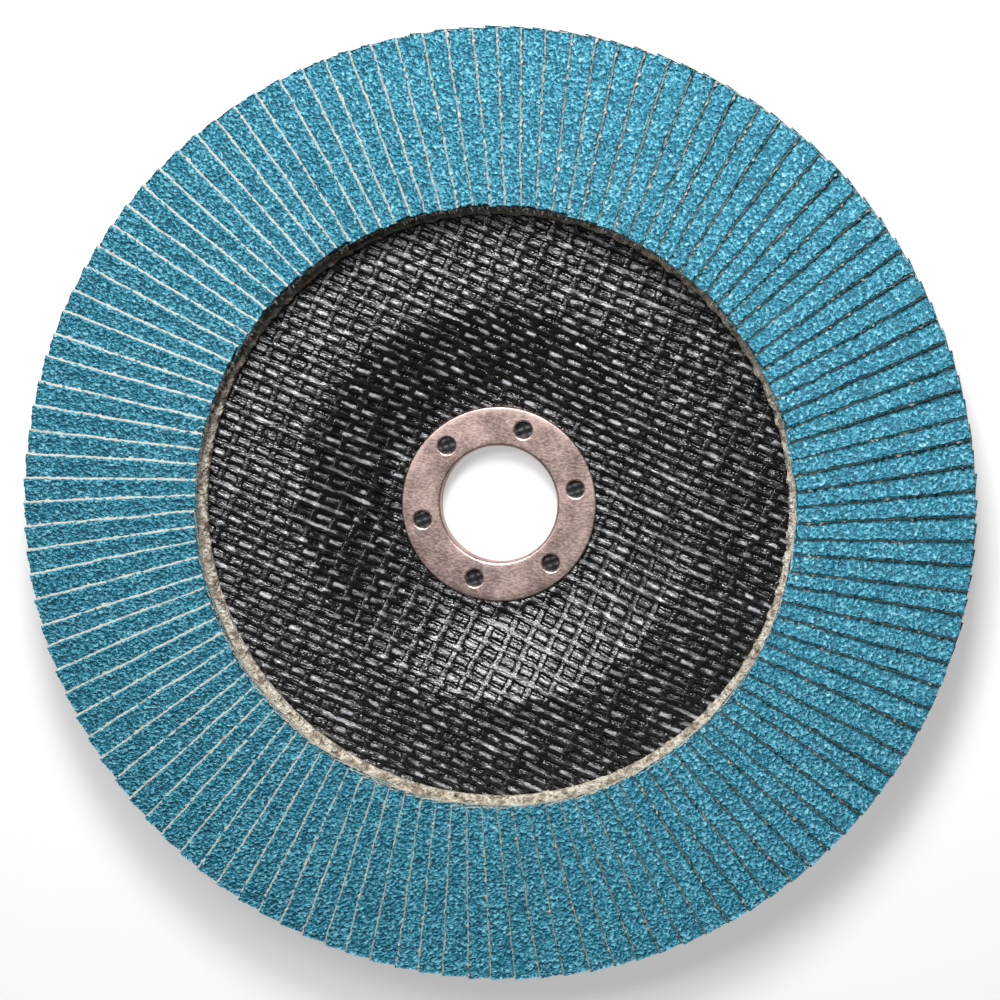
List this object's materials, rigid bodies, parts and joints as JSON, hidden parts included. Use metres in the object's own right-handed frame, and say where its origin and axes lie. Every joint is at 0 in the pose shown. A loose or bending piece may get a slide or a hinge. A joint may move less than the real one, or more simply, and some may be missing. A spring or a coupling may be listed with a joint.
{
  "type": "flap disc",
  "caption": "Abrasive flap disc with overlapped cloth flaps round a depressed-centre backing plate and a metal arbor bush, for an angle grinder.",
  "frame": {"origin": "on the bore's axis, in the back face of the back ring, where the disc is clamped", "axes": "+Z along the axis, out of the abrasive face; +X and +Y in the plane of the disc"},
  "size_m": [0.18, 0.18, 0.015],
  "materials": {
    "laminate": "black resin over woven glass fibre",
    "bush_steel": "plated steel, slightly pink",
    "ring_steel": "plated steel, slightly pink",
    "abrasive_cloth": "blue-green abrasive grain on cream cloth",
    "adhesive": "cured cream adhesive"
  },
  "bodies": {
    "root": {"backing_plate": "laminate", "arbor_bush": "bush_steel", "back_ring": "ring_steel", "flap_ring": "abrasive_cloth"}
  },
  "joints": []
}
